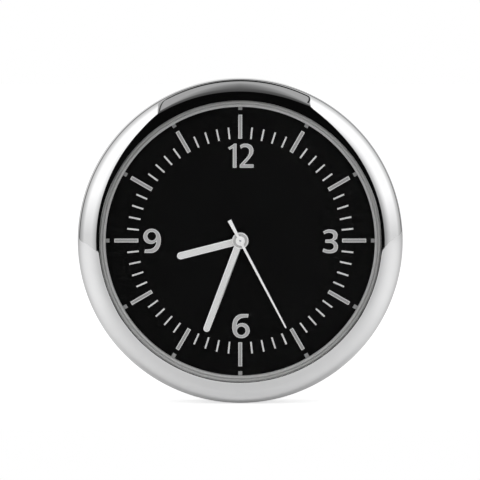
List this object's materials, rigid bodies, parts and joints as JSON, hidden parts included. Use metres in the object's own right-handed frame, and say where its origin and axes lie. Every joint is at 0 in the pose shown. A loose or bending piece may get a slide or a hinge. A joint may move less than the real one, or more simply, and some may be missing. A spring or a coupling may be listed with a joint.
{
  "type": "stick-on car clock",
  "caption": "Round stick-on car clock: polished domed bezel, black dial with baton hands, quartz gear train, setting crown and twist-off back on a foam pad.",
  "frame": {"origin": "centre of the foam pad's sticky face, on the clock's axis", "axes": "+Z towards 12 o'clock, +X towards 3 o'clock, +Y out of the sticky face into the dashboard; the dial faces -Y"},
  "size_m": [0.04, 0.0125, 0.04],
  "materials": {
    "foam": "matte closed-cell foam",
    "black_plastic": "moulded matte",
    "seal_rubber": "matte",
    "chrome_case": "mirror polished",
    "crystal": "clear polished",
    "gasket_nylon": "translucent white",
    "satin_ring": "satin, turned",
    "dial_black": "satin black lacquer",
    "mark_grey": "printed grey",
    "mark_light": "printed light grey",
    "hand_silver": "satin silver lacquer",
    "holder_plastic": "moulded matte",
    "spacer_plastic": "moulded",
    "spring_steel": "plain",
    "plate_brass": "brushed, gilt",
    "wheel_brass": "polished",
    "pinion_steel": "polished",
    "screw_steel": "polished, nickel",
    "magnet_grey": "sintered, plain",
    "soft_iron": "annealed",
    "copper_wire": "enamelled copper wire",
    "board_green": "solder mask",
    "epoxy_black": "cast epoxy",
    "nickel": "bright nickel"
  },
  "bodies": {
    "base": {"adhesive_pad": "foam", "back_cover": "black_plastic", "cover_seal": "seal_rubber"},
    "clock": {"case": "chrome_case", "crystal": "crystal", "crystal_gasket": "gasket_nylon", "flange_ring": "satin_ring", "dial_plate": "dial_black", "hour_marks": "mark_grey", "minute_marks": "mark_light", "dial_spacer": "spacer_plastic", "holder_ring": "holder_plastic", "snap_ring": "spring_steel", "main_plate": "plate_brass", "centre_tube": "plate_brass", "train_bridge": "plate_brass", "movement_screws": "screw_steel", "motion_guard": "nickel", "stator": "soft_iron", "coil_core": "soft_iron", "coil_winding": "copper_wire", "circuit_board": "board_green", "chip": "epoxy_black", "quartz_can": "nickel", "battery": "nickel", "battery_contact": "plate_brass", "battery_clamp": "nickel", "detent_spring": "spring_steel"},
    "second_train": {"second_hand": "hand_silver", "second_pinion": "pinion_steel", "second_wheel": "wheel_brass"},
    "rotor": {"rotor_magnet": "magnet_grey", "rotor_pinion": "pinion_steel"},
    "intermediate": {"intermediate_wheel": "wheel_brass", "intermediate_pinion": "pinion_steel"},
    "third": {"third_wheel": "wheel_brass", "third_pinion": "pinion_steel"},
    "minute_train": {"minute_hand": "hand_silver", "cannon_pinion": "pinion_steel", "centre_wheel": "wheel_brass"},
    "minute_work": {"minute_wheel": "wheel_brass"},
    "hour_train": {"hour_hand": "hand_silver", "hour_wheel": "wheel_brass"},
    "setting": {"setting_wheel": "pinion_steel"},
    "crown_slide": {"detent_slide": "nickel"},
    "crown_stem": {"stem": "pinion_steel", "setting_pinion": "pinion_steel", "crown": "nickel"}
  },
  "joints": [
    {"name": "case_turn", "type": "hinge", "parent": "base", "child": "clock", "pos_m": [0, 0, 0], "axis": [0, 1, 0], "range_deg": [-22, 0]},
    {"name": "second_turn", "type": "hinge", "parent": "clock", "child": "second_train", "pos_m": [0, -0.0052, 0], "axis": [0, 1, 0], "continuous": true},
    {"name": "rotor_turn", "type": "hinge", "parent": "clock", "child": "rotor", "pos_m": [0.0037, -0.0052, 0.00435], "axis": [0, 1, 0], "continuous": true},
    {"name": "intermediate_turn", "type": "hinge", "parent": "clock", "child": "intermediate", "pos_m": [0.0023, -0.0052, 0.00193], "axis": [0, 1, 0], "continuous": true},
    {"name": "third_turn", "type": "hinge", "parent": "clock", "child": "third", "pos_m": [0.0014, -0.0052, -0.00383], "axis": [0, 1, 0], "continuous": true},
    {"name": "minute_turn", "type": "hinge", "parent": "clock", "child": "minute_train", "pos_m": [0, -0.007, 0], "axis": [0, 1, 0], "continuous": true},
    {"name": "minute_work_turn", "type": "hinge", "parent": "clock", "child": "minute_work", "pos_m": [0.0016, -0.0073, -0.00277], "axis": [0, 1, 0], "continuous": true},
    {"name": "hour_turn", "type": "hinge", "parent": "clock", "child": "hour_train", "pos_m": [0, -0.008, 0], "axis": [0, 1, 0], "continuous": true},
    {"name": "setting_turn", "type": "hinge", "parent": "clock", "child": "setting", "pos_m": [0.0051, -0.0073, -0.0012], "axis": [0, 1, 0], "continuous": true},
    {"name": "crown_pull", "type": "slide", "parent": "clock", "child": "crown_slide", "axis": [1, 0, 0], "range_m": [0, 0.0007]},
    {"name": "crown_turn", "type": "hinge", "parent": "crown_slide", "child": "crown_stem", "pos_m": [0.0129, -0.00658, 0], "axis": [1, 0, 0], "continuous": true}
  ],
  "couplings": [
    {"joint": "rotor_turn", "follows": "second_turn", "ratio": 30},
    {"joint": "intermediate_turn", "follows": "second_turn", "ratio": -5},
    {"joint": "third_turn", "follows": "second_turn", "ratio": -0.13333},
    {"joint": "minute_turn", "follows": "second_turn", "ratio": 0.016667},
    {"joint": "minute_work_turn", "follows": "second_turn", "ratio": -0.0055556},
    {"joint": "hour_turn", "follows": "second_turn", "ratio": 0.0013889},
    {"joint": "setting_turn", "follows": "second_turn", "ratio": 0.0092593}
  ]
}
